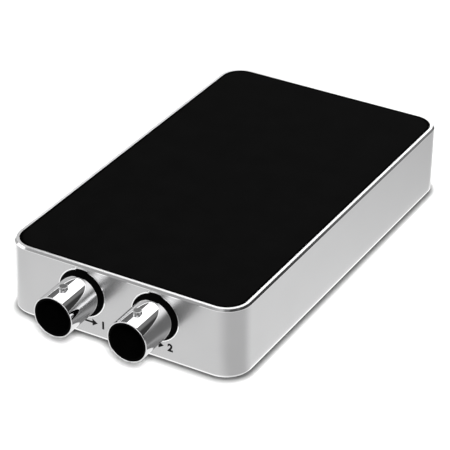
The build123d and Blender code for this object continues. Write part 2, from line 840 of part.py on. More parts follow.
# Clear light pipes: three bent rods on one bar that stands on the board
with BuildPart() as light_pipes:
    for pipe_x in light_xs:
        with BuildLine(Plane.YZ.offset(pipe_x)) as pipe_path:
            FilletPolyline(
                (pipe_y, lamp_top_z + lamp_gap),
                (pipe_y, light_z),
                (back_y - pipe_sink, light_z),
                radius=pipe_bend,
            )
        with BuildSketch(level(lamp_top_z + lamp_gap)):
            with Locations((pipe_x, pipe_y)):
                Circle(pipe_radius)
        sweep(path=pipe_path.line)
    with BuildSketch(level(lamp_top_z + lamp_gap)):
        with Locations((light_x, pipe_y)):
            Rectangle(2 * light_pitch, pipe_bar_depth)
    extrude(amount=pipe_bar_height)
    with BuildSketch(level(board_top_z)):
        with Locations(*[(light_x + side * light_pitch / 2, pipe_y) for side in (-1, 1)]):
            Rectangle(pipe_post_width, pipe_bar_depth)
    extrude(amount=lamp_thick + lamp_gap)
light_pipes.part.label = "light_pipes"
export_step(light_pipes.part, "parts/light_pipes.step")

# Flat parts on the board, one node for each kind: places, width, length, height
board_parts = {
    "processor": ([(0, 0)], processor_size, processor_size, processor_thick),
    "memory_chips": (memory_shares, memory_width, memory_length, memory_thick),
    "usb_controller": (usb_chip_shares, usb_chip_size, usb_chip_size, chip_thick),
    "video_receiver": (receiver_shares, video_chip_size, video_chip_size, chip_thick),
    "video_driver": (driver_shares, video_chip_size, video_chip_size, chip_thick),
    "sound_codec": (codec_shares, codec_size, codec_size, chip_thick),
    "flash_memory": (flash_shares, flash_width, flash_length, chip_thick),
    "power_regulators": (regulator_shares, regulator_size, regulator_size, chip_thick),
    "power_coils": (coil_shares, coil_size, coil_size, coil_thick),
    "crystals": (crystal_shares, crystal_width, crystal_length, chip_thick),
    "small_parts": (bead_shares, bead_width, bead_length, bead_thick),
}
for part_name, (shares, width, length, thick) in board_parts.items():
    with BuildPart() as board_part:
        with BuildSketch(level(board_top_z)):
            with Locations(*board_places(shares)):
                Rectangle(width, length)
        extrude(amount=thick)
    board_part.part.label = part_name
    export_step(board_part.part, "parts/" + part_name + ".step")

# Soft pad between the processor and the housing's post
with BuildPart() as thermal_pad:
    with BuildSketch(level(board_top_z + processor_thick)):
        with Locations((0, middle_y)):
            Rectangle(processor_size - 2 * pad_inset, processor_size - 2 * pad_inset)
    extrude(amount=pad_thickness)
thermal_pad.part.label = "thermal_pad"
export_step(thermal_pad.part, "parts/thermal_pad.step")

# Status lamps under the light pipes
with BuildPart() as status_lamps:
    with BuildSketch(level(board_top_z)):
        with Locations(*[(x, pipe_y) for x in light_xs]):
            Rectangle(lamp_width, lamp_depth)
    extrude(amount=lamp_thick)
status_lamps.part.label = "status_lamps"
export_step(status_lamps.part, "parts/status_lamps.step")

# Capacitors: aluminium cans on square bases
with BuildPart() as capacitors:
    with BuildSketch(level(board_top_z)):
        with Locations(*board_places(can_shares)):
            Rectangle(can_base_size, can_base_size)
    extrude(amount=can_base_height)
    with BuildSketch(level(board_top_z + can_base_height)):
        with Locations(*board_places(can_shares)):
            Circle(can_radius)
    extrude(amount=can_height - can_base_height)
    chamfer(capacitors.faces().group_by(Axis.Z)[-1].edges(), length=can_edge)
capacitors.part.label = "capacitors"
export_step(capacitors.part, "parts/capacitors.step")

# Sheet metal shield over the video receiver, open below and vented above
with BuildPart() as input_shield:
    with BuildSketch(level(board_top_z)):
        with Locations(*board_places(receiver_shares)):
            RectangleRounded(shield_width, shield_length, shield_corner)
    extrude(amount=shield_height)
    with BuildSketch(level(board_top_z)):
        with Locations(*board_places(receiver_shares)):
            RectangleRounded(
                shield_width - 2 * shield_sheet,
                shield_length - 2 * shield_sheet,
                shield_corner - shield_sheet,
            )
    extrude(amount=shield_height - shield_sheet, mode=Mode.SUBTRACT)
    with BuildSketch(level(board_top_z + shield_height)):
        with Locations(*board_places(receiver_shares)):
            with GridLocations(vent_pitch, vent_pitch, vent_columns, vent_rows):
                Circle(vent_radius)
    extrude(amount=-shield_sheet, mode=Mode.SUBTRACT)
input_shield.part.label = "input_shield"
export_step(input_shield.part, "parts/input_shield.step")
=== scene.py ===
import bmesh
import bpy
import json
import math
from mathutils import Matrix, Vector


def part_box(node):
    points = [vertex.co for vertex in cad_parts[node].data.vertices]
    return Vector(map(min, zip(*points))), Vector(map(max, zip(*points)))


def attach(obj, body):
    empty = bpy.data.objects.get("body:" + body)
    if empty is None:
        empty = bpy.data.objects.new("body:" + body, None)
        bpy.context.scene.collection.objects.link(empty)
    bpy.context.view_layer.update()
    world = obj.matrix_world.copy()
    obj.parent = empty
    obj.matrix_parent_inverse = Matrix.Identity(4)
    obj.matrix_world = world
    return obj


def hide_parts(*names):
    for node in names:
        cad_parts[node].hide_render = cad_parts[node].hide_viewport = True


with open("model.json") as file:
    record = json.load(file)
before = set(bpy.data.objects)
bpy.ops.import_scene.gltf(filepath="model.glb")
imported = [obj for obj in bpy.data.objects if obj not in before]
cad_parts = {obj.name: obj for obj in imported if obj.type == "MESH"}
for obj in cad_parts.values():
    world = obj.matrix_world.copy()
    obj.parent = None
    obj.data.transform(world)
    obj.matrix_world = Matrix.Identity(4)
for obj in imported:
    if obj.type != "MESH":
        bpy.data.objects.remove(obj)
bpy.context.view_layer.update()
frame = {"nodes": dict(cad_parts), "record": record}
nodes = frame["nodes"]
mm = 0.001


# small helpers for node trees

def newMaterial(name):
    mat = bpy.data.materials.new(name)
    mat.use_nodes = True
    tree = mat.node_tree
    return mat, tree, tree.nodes["Principled BSDF"]


def addNode(tree, kind, **settings):
    node = tree.nodes.new(kind)
    for key, value in settings.items():
        setattr(node, key, value)
    return node


def feed(tree, socket, value):
    # a plain number is set on the socket, another node's output is linked to it
    if isinstance(value, (int, float)):
        socket.default_value = value
    else:
        tree.links.new(value, socket)


def axes(tree, kind="Object"):
    # x, y and z of a place on the piece, or with "Generated" of a direction in the sky
    where = addNode(tree, "ShaderNodeTexCoord")
    split = addNode(tree, "ShaderNodeSeparateXYZ")
    tree.links.new(where.outputs[kind], split.inputs[0])
    return split.outputs["X"], split.outputs["Y"], split.outputs["Z"]


def grain(tree, size, detail=2.0, rough=0.5):
    # cloud of noise whose lumps are about the given size in metres
    where = addNode(tree, "ShaderNodeTexCoord")
    noise = addNode(tree, "ShaderNodeTexNoise")
    noise.inputs["Scale"].default_value = 1 / size
    noise.inputs["Detail"].default_value = detail
    noise.inputs["Roughness"].default_value = rough
    tree.links.new(where.outputs["Object"], noise.inputs["Vector"])
    return noise.outputs["Fac"]


def spread(tree, value, low, high, fromLow=0.3, fromHigh=0.7, kind="LINEAR"):
    # carries a value between fromLow and fromHigh over to low and high
    ramp = addNode(tree, "ShaderNodeMapRange", interpolation_type=kind)
    ramp.inputs["From Min"].default_value = fromLow
    ramp.inputs["From Max"].default_value = fromHigh
    ramp.inputs["To Min"].default_value = low
    ramp.inputs["To Max"].default_value = high
    tree.links.new(value, ramp.inputs["Value"])
    return ramp.outputs["Result"]


def fade(tree, value, start, end, low=0.0, high=1.0):
    # soft step from low at the start to high at the end
    return spread(tree, value, low, high, start, end, "SMOOTHSTEP")


def tint(tree, value, darker, lighter, fromLow=0.3, fromHigh=0.7):
    ramp = addNode(tree, "ShaderNodeValToRGB")
    ramp.color_ramp.elements[0].position = fromLow
    ramp.color_ramp.elements[1].position = fromHigh
    ramp.color_ramp.elements[0].color = (*darker, 1)
    ramp.color_ramp.elements[1].color = (*lighter, 1)
    tree.links.new(value, ramp.inputs["Fac"])
    return ramp.outputs["Color"]


def bump(tree, shader, value, depth, strength=1.0):
    node = addNode(tree, "ShaderNodeBump")
    node.inputs["Distance"].default_value = depth
    feed(tree, node.inputs["Strength"], strength)
    tree.links.new(value, node.inputs["Height"])
    tree.links.new(node.outputs["Normal"], shader.inputs["Normal"])


def sums(tree, operation, first, second=0.0):
    # one step of arithmetic on values or plain numbers
    node = addNode(tree, "ShaderNodeMath", operation=operation)
    feed(tree, node.inputs[0], first)
    feed(tree, node.inputs[1], second)
    return node.outputs[0]


def product(tree, first, *others):
    for other in others:
        first = sums(tree, "MULTIPLY", first, other)
    return first


def mixLevel(tree, factor, first, second):
    # first where the factor is 0, second where it is 1
    node = addNode(tree, "ShaderNodeMix", data_type="FLOAT")
    tree.links.new(factor, node.inputs["Factor"])
    feed(tree, node.inputs[2], first)
    feed(tree, node.inputs[3], second)
    return node.outputs[0]


def mixColour(tree, factor, first, second):
    # the same for a colour, where the second is plain
    node = addNode(tree, "ShaderNodeMix", data_type="RGBA")
    tree.links.new(factor, node.inputs["Factor"])
    tree.links.new(first, node.inputs[6])
    node.inputs[7].default_value = (*second, 1)
    return node.outputs[2]


def deeper(tree, path, kind, count):
    # 1 for a ray that has met more than so many surfaces of a kind
    return sums(tree, "GREATER_THAN", path.outputs[kind], count + 0.5)


# finishes

satin = {
    "lighter": (0.598, 0.598, 0.602),
    "darker": (0.574, 0.574, 0.578),
    "rough": (0.22, 0.27),
    "cloudSize": 9 * mm,
    "blastSize": 0.16 * mm,
    "blastDepth": 0.004 * mm,
    "cutColour": (0.86, 0.86, 0.865),
    "cutRough": 0.08,
    "topCut": 0.57 * mm,  # heights of the two chamfers
    "baseCut": 0.56 * mm,
    "baseColour": (0.98, 0.98, 0.985),
    "rimColour": (0.92, 0.92, 0.925),
    "rimRough": 0.30,
    "rimStart": 0.02 * mm,  # below the housing's top
    # painted shade on the rim at its left front corner, as a share of the rim's colour
    "rimPaintedShade": 0.68,
    "dimFront": (6 * mm, 14 * mm),  # the painted shade at the rim's left front end fades out between these
    "dimLeft": (5 * mm, 24 * mm),
    "blur": 0.01 * mm,
    "beyond": 1 * mm,
}


def heightMask(tree, z, low, high):
    # 1 between two heights, 0 outside
    blur = satin["blur"]
    above = spread(tree, z, 0, 1, low - blur, low + blur)
    below = spread(tree, z, 1, 0, high - blur, high + blur)
    return sums(tree, "MULTIPLY", above, below)


def satinAluminium():
    # blasted walls, brighter satin rim, bright-cut chamfers above and below
    mat, tree, shader = newMaterial("blastedAluminium")
    low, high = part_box("housing")
    x, y, z = axes(tree)
    rimStart = high.z - satin["rimStart"]
    topCut = heightMask(tree, z, high.z - satin["topCut"], rimStart)
    baseCut = heightMask(tree, z, low.z - satin["beyond"], low.z + satin["baseCut"])
    rim = heightMask(tree, z, rimStart, high.z + satin["beyond"])
    cut = sums(tree, "MAXIMUM", topCut, baseCut)

    # painted shade: the rim's colour is darkened towards its left front corner, standing in for
    # the dimmer light there
    nearFront = fade(tree, y, *(low.y + end for end in satin["dimFront"]), 1, 0)
    nearLeft = fade(tree, x, *(low.x + end for end in satin["dimLeft"]), 1, 0)
    dim = product(tree, nearFront, nearLeft, rim)
    paintedShadeColour = tuple(satin["rimPaintedShade"] * c for c in satin["rimColour"])

    cloud = grain(tree, satin["cloudSize"], 3.0)
    colour = tint(tree, cloud, satin["darker"], satin["lighter"])
    colour = mixColour(tree, rim, colour, satin["rimColour"])
    colour = mixColour(tree, dim, colour, paintedShadeColour)
    colour = mixColour(tree, topCut, colour, satin["cutColour"])
    colour = mixColour(tree, baseCut, colour, satin["baseColour"])
    rough = spread(tree, cloud, *satin["rough"])
    rough = mixLevel(tree, rim, rough, satin["rimRough"])
    rough = mixLevel(tree, cut, rough, satin["cutRough"])
    shader.inputs["Metallic"].default_value = 1.0
    tree.links.new(colour, shader.inputs["Base Color"])
    tree.links.new(rough, shader.inputs["Roughness"])
    blast = grain(tree, satin["blastSize"], 1.0)
    bump(tree, shader, blast, satin["blastDepth"], sums(tree, "SUBTRACT", 1.0, cut))
    return mat


panel = {
    "darker": (0.0024, 0.0024, 0.0024),
    "lighter": (0.0031, 0.0031, 0.0031),
    "cloudSize": 6 * mm,
    "rough": (0.42, 0.5),
    "specular": 0.0025,
    "lumpSize": 0.25 * mm,
    "lumpDepth": 0.002 * mm,
    "edge": (0.0001, 0.0001, 0.0001),
    "edgeWidth": 0.5 * mm,
    "edgeBlur": 0.05 * mm,
    "corner": 5.3 * mm,
}


def blackPanel():
    # black sheet whose ground edge is darker still
    mat, tree, shader = newMaterial("blackPanel")
    low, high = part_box("top_panel")
    middle, reach = (low + high) / 2, (high - low) / 2
    x, y = axes(tree)[:2]
    corner = panel["corner"]
    squares = []
    for along, centre, half in ((x, middle.x, reach.x), (y, middle.y, reach.y)):
        away = sums(tree, "ABSOLUTE", sums(tree, "SUBTRACT", along, centre))
        past = sums(tree, "MAXIMUM", sums(tree, "SUBTRACT", away, half - corner), 0)
        squares.append(sums(tree, "MULTIPLY", past, past))
    outward = sums(tree, "SQRT", sums(tree, "ADD", *squares))
    edgeStart = corner - panel["edgeWidth"]
    edge = fade(tree, outward, edgeStart - panel["edgeBlur"], edgeStart + panel["edgeBlur"])
    cloud = grain(tree, panel["cloudSize"], 3.0)
    colour = tint(tree, cloud, panel["darker"], panel["lighter"])
    colour = mixColour(tree, edge, colour, panel["edge"])
    tree.links.new(colour, shader.inputs["Base Color"])
    tree.links.new(spread(tree, cloud, *panel["rough"]), shader.inputs["Roughness"])
    shader.inputs["Specular IOR Level"].default_value = panel["specular"]
    bump(tree, shader, grain(tree, panel["lumpSize"], 1.0), panel["lumpDepth"])
    return mat


plated = {
    "cloudSize": 3 * mm,
    "darker": 0.96,  # share of the base colour
    "rough": (0.8, 1.2),  # shares of the given roughness
    "waveSize": 0.8 * mm,
    "waveDepth": 0.0006 * mm,
}


def plating(name, base, rough):
    mat, tree, shader = newMaterial(name)
    cloud = grain(tree, plated["cloudSize"], 3.0)
    darker = tuple(plated["darker"] * c for c in base)
    smoother, rougher = (rough * share for share in plated["rough"])
    shader.inputs["Metallic"].default_value = 1.0
    tree.links.new(tint(tree, cloud, darker, base), shader.inputs["Base Color"])
    tree.links.new(spread(tree, cloud, smoother, rougher), shader.inputs["Roughness"])
    bump(tree, shader, grain(tree, plated["waveSize"], 2.0), plated["waveDepth"])
    return mat


resin = {
    "cloudSize": 2 * mm,
    "darker": 0.85,
    "roughSpread": 0.04,
}
blackResin = {
    "cloudSize": 1.5 * mm,
    "lighter": 1.4,
    "roughSpread": 0.05,
    "lumpSize": 0.12 * mm,
    "lumpDepth": 0.002 * mm,
}
clearResin = {
    "cloudSize": 1 * mm,
    "darker": (0.86, 0.9, 0.93),
    "lighter": (0.95, 0.97, 0.98),
    "rough": (0.1, 0.2),
    "through": 0.85,
    "bend": 1.49,
    "lumpSize": 0.3 * mm,
    "lumpDepth": 0.002 * mm,
}


def moulded(name, base, rough, specular=0.5, lumpSize=0.3 * mm, lumpDepth=0.004 * mm):
    mat, tree, shader = newMaterial(name)
    cloud = grain(tree, resin["cloudSize"], 2.0)
    darker, wide = tuple(resin["darker"] * c for c in base), resin["roughSpread"]
    tree.links.new(tint(tree, cloud, darker, base), shader.inputs["Base Color"])
    tree.links.new(spread(tree, cloud, rough - wide, rough + wide), shader.inputs["Roughness"])
    shader.inputs["Specular IOR Level"].default_value = specular
    bump(tree, shader, grain(tree, lumpSize, 1.0), lumpDepth)
    return mat


def blackPlastic(name, base, specular, rough=0.5):
    mat, tree, shader = newMaterial(name)
    cloud = grain(tree, blackResin["cloudSize"], 2.0)
    lighter, wide = tuple(blackResin["lighter"] * c for c in base), blackResin["roughSpread"]
    tree.links.new(tint(tree, cloud, base, lighter), shader.inputs["Base Color"])
    tree.links.new(spread(tree, cloud, rough - wide, rough + wide), shader.inputs["Roughness"])
    shader.inputs["Specular IOR Level"].default_value = specular
    bump(tree, shader, grain(tree, blackResin["lumpSize"], 1.0), blackResin["lumpDepth"])
    return mat


def clearPlastic():
    mat, tree, shader = newMaterial("clearPlastic")
    cloud = grain(tree, clearResin["cloudSize"], 2.0)
    colour = tint(tree, cloud, clearResin["darker"], clearResin["lighter"])
    tree.links.new(colour, shader.inputs["Base Color"])
    tree.links.new(spread(tree, cloud, *clearResin["rough"]), shader.inputs["Roughness"])
    shader.inputs["Transmission Weight"].default_value = clearResin["through"]
    shader.inputs["IOR"].default_value = clearResin["bend"]
    bump(tree, shader, grain(tree, clearResin["lumpSize"], 1.0), clearResin["lumpDepth"])
    return mat


finishes = {
    "housing": satinAluminium(),
    "panel": blackPanel(),
    "adhesive": moulded("transferTape", (0.72, 0.71, 0.66), 0.6),
    "cover": plating("satinSheet", (0.68, 0.68, 0.69), 0.36),
    "screw": plating("platedSteel", (0.42, 0.42, 0.43), 0.28),
    "foot_rubber": moulded(
        "footRubber", (0.018, 0.018, 0.018), 0.75, 0.2, 0.2 * mm, 0.02 * mm),
    "board": moulded("solderMask", (0.008, 0.075, 0.04), 0.3, 0.5, 1.2 * mm, 0.02 * mm),
    "jack_plating": plating("brightNickel", (0.80, 0.80, 0.805), 0.04),
    "jack_black": blackPlastic("jackBlack", (0.0005, 0.0005, 0.0005), 0.01),
    "jack_zinc": plating("tinnedZinc", (0.55, 0.55, 0.54), 0.35),
    "contact_gold": plating("goldPlate", (0.83, 0.60, 0.24), 0.18),
    "usb_metal": plating("nickelSheet", (0.72, 0.72, 0.73), 0.2),
    "usb_plastic": moulded("bluePlastic", (0.02, 0.10, 0.42), 0.35),
    "socket_plastic": blackPlastic("socketPlastic", (0.008, 0.008, 0.008), 0.35, 0.45),
    "socket_metal": plating("sleeveNickel", (0.78, 0.78, 0.79), 0.12),
    "light_pipe": clearPlastic(),
    "lamp": moulded("lampResin", (0.82, 0.82, 0.7), 0.3),
    "chip": moulded("chipResin", (0.02, 0.02, 0.022), 0.5),
    "coil": moulded("ironPowder", (0.10, 0.10, 0.105), 0.6, 0.3, 0.1 * mm, 0.02 * mm),
    "can": plating("drawnCan", (0.75, 0.75, 0.76), 0.25),
    "crystal_can": plating("crystalLid", (0.68, 0.68, 0.66), 0.3),
    "ceramic": moulded("ceramicBody", (0.42, 0.30, 0.18), 0.35),
    "shield": plating("tinnedSheet", (0.62, 0.62, 0.62), 0.3),
    "pad": moulded("siliconePad", (0.32, 0.38, 0.44), 0.7, 0.3),
}
for part in frame["record"]["subparts"]:
    if part["node"] in nodes:
        piece = nodes[part["node"]]
        piece.data.materials.clear()
        piece.data.materials.append(finishes[part["material_slot"]])
print("finishes on", len(nodes), "CAD pieces")


# the jacks: barrel with rolled lip and studs, lining, flared collar, and the bright seat
# round it; lengths run back from the mouth, radii from the jack's axis

jackBarrel = {
    "segments": 144,
    "lip": 0.13 * mm,
    "lipTurns": 8,
    "support": 0.04 * mm,  # rows this far from an edge hold its shading
    "radius": 4.83 * mm,
    "length": 10.2 * mm,
    "lastRow": 1 * mm,
    "shoulder": 0.12 * mm,
    "neckRadius": 3.4 * mm,
    "neckEnd": 17.7 * mm,
    "neckChamfer": 0.3 * mm,
    "boreDepth": 9.0 * mm,
    "boreRadius": 4.44 * mm,
    "boreInside": 0.03 * mm,
    "linerGap": 0.02 * mm,
    "insulatorRadius": 2.84 * mm,
    "keyHalf": 15.0,  # degrees
    "keyReach": 0.29 * mm,
    "keyFloor": 4.44 * mm,
    "keyStep": 0.02 * mm,
}
jackStud = {
    "depth": 4.4 * mm,
    "radius": 0.95 * mm,
    "top": 5.5 * mm,
    "foot": 4.6 * mm,
    "rise": 4.8 * mm,
    "edge": 0.05 * mm,
    "flare": 0.05 * mm,
    "sideRow": 0.02 * mm,
    "topRow": 0.03 * mm,
    "segments": 48,
    "colour": (0.42, 0.42, 0.425),  # painted shade: a darker copy of the plating for the studs' sides, where a face's normal rises less
    "rough": 0.16,
    "sideways": 0.5,
}
jackLiner = {
    "segments": 96,
    "front": 0.10 * mm,
    "lipRadius": 4.585 * mm,
    "lipDepth": 0.33 * mm,
    "mouthRound": 0.09 * mm,
    "plugRadius": 4.065 * mm,
    "plugDepth": 5.4 * mm,
    "reliefRadius": 4.245 * mm,
    "reliefSlope": 0.1 * mm,
    "floor": 8.7 * mm,
    "back": 9.0 * mm,
    "outerRadius": 4.4 * mm,
}
jackCollar = {
    "segments": 180,
    "start": 10.2 * mm,
    "startRadius": 4.78 * mm,
    "radius": 5.64 * mm,
    "land": 0.2 * mm,
    "wall": 11.2 * mm,
    "boreRadius": 3.44 * mm,
    "keyHalf": 14.0,
    "keyReach": 0.25 * mm,
    "keyRise": 0.28 * mm,
    "keyStep": 0.01 * mm,
    "round": 0.05 * mm,
    "roundRise": 0.5,
}
jackSeat = {
    "segments": 180,
    "width": 0.30 * mm,
    "proud": 0.03 * mm,
    "under": 0.06 * mm,  # how far it goes under the collar
    "sunk": 0.01 * mm,  # and into the wall
    "keyWider": 1,
    "rough": 0.1,
}
softShare = 0.3  # where the middle row of a softened edge stands
meshing = {
    "sharp": 32,
    "weld": 0.0005 * mm,
    "sliver": 0.0001 * mm,
}


def turned(bm, centre, profile, segments, axis="Y"):
    # closed outline swept round the axis; a row is (along, radius), and with three more
    # values it has another along and radius within so many degrees of the key
    rings = []
    for k in range(segments):
        angle = 2 * math.pi * k / segments
        ring = []
        for row in profile:
            along, radius = row[:2]
            if len(row) > 2:
                turn = math.degrees(math.atan2(math.sin(angle), math.cos(angle)))
                if abs(turn) <= row[4]:
                    along, radius = row[2:4]
            if axis == "Y":
                place = (radius * math.sin(angle), along, radius * math.cos(angle))
            else:
                place = (radius * math.sin(angle), radius * math.cos(angle), along)
            ring.append(bm.verts.new(Vector(centre) + Vector(place)))
        rings.append(ring)
    count = len(profile)
    for k in range(segments):
        ringA, ringB = rings[k], rings[(k + 1) % segments]
        for i in range(count):
            j = (i + 1) % count
            bm.faces.new((ringA[i], ringA[j], ringB[j], ringB[i]))


def finished(bm, name, material):
    # cleaned mesh with smooth faces and sharp edges above an angle
    bmesh.ops.remove_doubles(bm, verts=bm.verts, dist=meshing["weld"])
    bmesh.ops.dissolve_degenerate(bm, edges=bm.edges, dist=meshing["sliver"])
    bmesh.ops.recalc_face_normals(bm, faces=bm.faces)
    sharp = math.radians(meshing["sharp"])
    for face in bm.faces:
        face.smooth = True
    for edge in bm.edges:
        edge.smooth = len(edge.link_faces) == 2 and edge.calc_face_angle(0) < sharp
    mesh = bpy.data.meshes.new(name)
    bm.to_mesh(mesh)
    bm.free()
    obj = bpy.data.objects.new(name, mesh)
    obj.data.materials.append(material)
    bpy.context.scene.collection.objects.link(obj)
    return obj


def makeBarrel(name, x, front, z):
    p, stud = jackBarrel, jackStud
    bm = bmesh.new()
    lip, radius, end = p["lip"], p["radius"], p["length"]
    reach, half, shoulder, hold = p["keyReach"], p["keyHalf"], p["shoulder"], p["support"]
    neck, bore = p["neckRadius"], p["boreRadius"] - p["boreInside"]
    soft = shoulder * softShare
    outline = []
    for i in range(p["lipTurns"] + 1):
        a = math.pi * i / p["lipTurns"]
        outline.append((lip - lip * math.sin(a), radius - lip - lip * math.cos(a)))
    outline += [
        (lip + hold, radius),
        (end - p["lastRow"], radius),
        (end - shoulder - hold, radius, end - shoulder - reach - hold, radius, half),
        (end - shoulder, radius, end - shoulder - reach, radius, half),
        (end - soft, radius - soft, end - soft - reach, radius - soft, half),
        (end, radius - shoulder, end - reach, radius - shoulder, half),
        (end, p["keyFloor"], end - reach, p["keyFloor"], half),
        (end, p["keyFloor"] - p["keyStep"]),
        (end, neck),
        (p["neckEnd"] - p["neckChamfer"], neck),
        (p["neckEnd"], neck - p["neckChamfer"]),
        (p["neckEnd"], p["insulatorRadius"]),
        (p["boreDepth"], p["insulatorRadius"]),
        (p["boreDepth"], bore),
        (jackLiner["lipDepth"] + p["linerGap"], bore),
        (jackLiner["lipDepth"] + p["linerGap"], radius - 2 * lip),
    ]
    turned(bm, (x, front, z), outline, p["segments"])
    barrelFaces = set(bm.faces)
    r, top, edge, flare = stud["radius"], stud["top"], stud["edge"], stud["flare"]
    rise = [
        (0, stud["foot"]),
        (r + flare, stud["foot"]),
        (r + flare, stud["rise"] - flare),
        (r + flare * softShare, stud["rise"]),
        (r, stud["rise"] + flare),
        (r, top - edge - stud["sideRow"]),
        (r, top - edge),
        (r - edge * softShare, top - edge * softShare),
        (r - edge, top),
        (r - edge - stud["topRow"], top),
        (0, top),
    ]
    for side in (-1, 1):
        column = [(side * h, away) for away, h in rise]
        turned(bm, (x, front + stud["depth"], z), column, stud["segments"], "Z")
    # painted shade: stud faces that face sideways take the darker copy of the nickel, the rest
    # keep the bright plating
    bm.normal_update()
    for face in bm.faces:
        bright = face in barrelFaces or abs(face.normal.z) > stud["sideways"]
        face.material_index = 0 if bright else 1
    barrel = finished(bm, name, finishes["jack_plating"])
    barrel.data.materials.append(studPaintedShade)
    return barrel


def makeLiner(name, x, front, z):
    # partly painted shade: a lining part of the jack, made near-black, whose front flange
    # covers the mouth's metal face; it stands in for the dark reflection and shade in the mouth
    p = jackLiner
    bm = bmesh.new()
    soft = p["mouthRound"]
    outline = [
        (p["front"] + soft, p["plugRadius"]),
        (p["front"] + soft * softShare, p["plugRadius"] + soft * softShare),
        (p["front"], p["plugRadius"] + soft),
        (p["front"], p["lipRadius"]),
        (p["lipDepth"], p["lipRadius"]),
        (p["lipDepth"], p["outerRadius"]),
        (p["back"], p["outerRadius"]),
        (p["back"], jackBarrel["insulatorRadius"]),
        (p["floor"], jackBarrel["insulatorRadius"]),
        (p["floor"], p["reliefRadius"]),
        (p["plugDepth"] + p["reliefSlope"], p["reliefRadius"]),
        (p["plugDepth"], p["plugRadius"]),
    ]
    turned(bm, (x, front, z), outline, p["segments"])
    return finished(bm, name, finishes["jack_black"])


def makeCollar(name, x, front, z):
    p = jackCollar
    bm = bmesh.new()
    start, radius, wall, bore = p["start"], p["radius"], p["wall"], p["boreRadius"]
    half, reach, rise, soft = p["keyHalf"], p["keyReach"], p["keyRise"], p["round"]
    foot = wall - p["land"]
    inner = jackBarrel["keyFloor"]
    topEdge, shoulder = p["startRadius"] - soft, p["startRadius"] + soft * p["roundRise"]
    outline = [
        (start, bore),
        (start, inner - p["keyStep"]),
        (start, inner, start - reach, inner, half),
        (start, topEdge, start - reach, topEdge, half),
        (start + soft, shoulder, start - reach + soft, shoulder, half),
        (foot - soft, radius - soft, foot - soft, radius + rise - soft, half),
        (foot + soft, radius, foot + soft, radius + rise, half),
        (wall, radius, wall, radius + rise, half),
        (wall, bore),
    ]
    turned(bm, (x, front, z), outline, p["segments"])
    return finished(bm, name, finishes["jack_black"])


def makeSeat(name, x, front, z):
    # bright-cut ring where the collar meets the blasted wall
    p, collar = jackSeat, jackCollar
    bm = bmesh.new()
    half, rise = collar["keyHalf"] + p["keyWider"], collar["keyRise"]
    inner, outer = collar["radius"] - p["under"], collar["radius"] + p["width"]
    top, foot = collar["wall"] - p["proud"], collar["wall"] + p["sunk"]
    outline = [
        (top, inner, top, inner + rise, half),
        (top, outer - p["proud"], top, outer + rise - p["proud"], half),
        (foot, outer, foot, outer + rise, half),
        (foot, inner, foot, inner + rise, half),
    ]
    turned(bm, (x, front, z), outline, p["segments"])
    return finished(bm, name, brightCut)


# painted shade: darker copy of the barrel's nickel plating, for the studs' sides
studPaintedShade = plating("studPaintedShade", jackStud["colour"], jackStud["rough"])
brightCut = plating("brightCut", satin["baseColour"], jackSeat["rough"])
for jack in ("thru", "input"):
    low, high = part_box(jack + "_jack_barrel")
    place = ((low.x + high.x) / 2, low.y, (low.z + high.z) / 2)
    for maker, name, node in (
        (makeBarrel, "Barrel", "_jack_barrel"),
        (makeLiner, "Liner", "_jack_liner"),
        (makeCollar, "Collar", "_jack_collar"),
    ):
        piece = maker(jack + name, *place)
        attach(piece, "root")
        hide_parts(jack + node)
    seat = makeSeat(jack + "Seat", *place)
    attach(seat, "root")
print("jacks turned")


# printed marks under the jacks: plain numbers and direction arrows

marks = {
    "ink": (0.002, 0.002, 0.002),
    "inkLighter": (0.006, 0.006, 0.006),
    "speckle": 0.3 * mm,
    "rough": (0.45, 0.6),
    "specular": 0.05,
    "height": 1.75 * mm,
    "capShare": 0.69,  # height of a digit in a font size of 1
    "bold": 0.12 * mm,
    "z": 4.2 * mm,
    "thick": 0.012 * mm,
    "wallGap": 0.004 * mm,
    "line": 0.46 * mm,
    "headShare": 0.75,  # length of an arrow's head by its height
    "thru": {"number": "1", "tail": 0.3 * mm, "tip": 3.9 * mm, "numberX": 5.3 * mm},
    "input": {"number": "2", "tail": -2.6 * mm, "tip": 2.15 * mm, "numberX": 3.75 * mm},
}


def printedInk():
    mat, tree, shader = newMaterial("printedInk")
    speckle = grain(tree, marks["speckle"], 2.0)
    colour = tint(tree, speckle, marks["ink"], marks["inkLighter"])
    tree.links.new(colour, shader.inputs["Base Color"])
    tree.links.new(spread(tree, speckle, *marks["rough"]), shader.inputs["Roughness"])
    shader.inputs["Specular IOR Level"].default_value = marks["specular"]
    return mat


def plate(name, outline, y, thick):
    # flat shape in x and z, thickened towards -Y
    bm = bmesh.new()
    back = [bm.verts.new((x, y, z)) for x, z in outline]
    front = [bm.verts.new((x, y - thick, z)) for x, z in outline]
    bm.faces.new(back)
    bm.faces.new(list(reversed(front)))
    for i in range(len(outline)):
        j = (i + 1) % len(outline)
        bm.faces.new((back[j], back[i], front[i], front[j]))
    bmesh.ops.recalc_face_normals(bm, faces=bm.faces)
    mesh = bpy.data.meshes.new(name)
    bm.to_mesh(mesh)
    bm.free()
    obj = bpy.data.objects.new(name, mesh)
    bpy.context.scene.collection.objects.link(obj)
    return obj


def arrow(tail, tip, z, height, line):
    # outline from a tail to a tip along x, either way
    way = 1 if tip > tail else -1
    neck = tip - way * height * marks["headShare"]
    return [
        (tail, z - line / 2),
        (neck, z - line / 2),
        (neck, z - height / 2),
        (tip, z),
        (neck, z + height / 2),
        (neck, z + line / 2),
        (tail, z + line / 2),
    ]


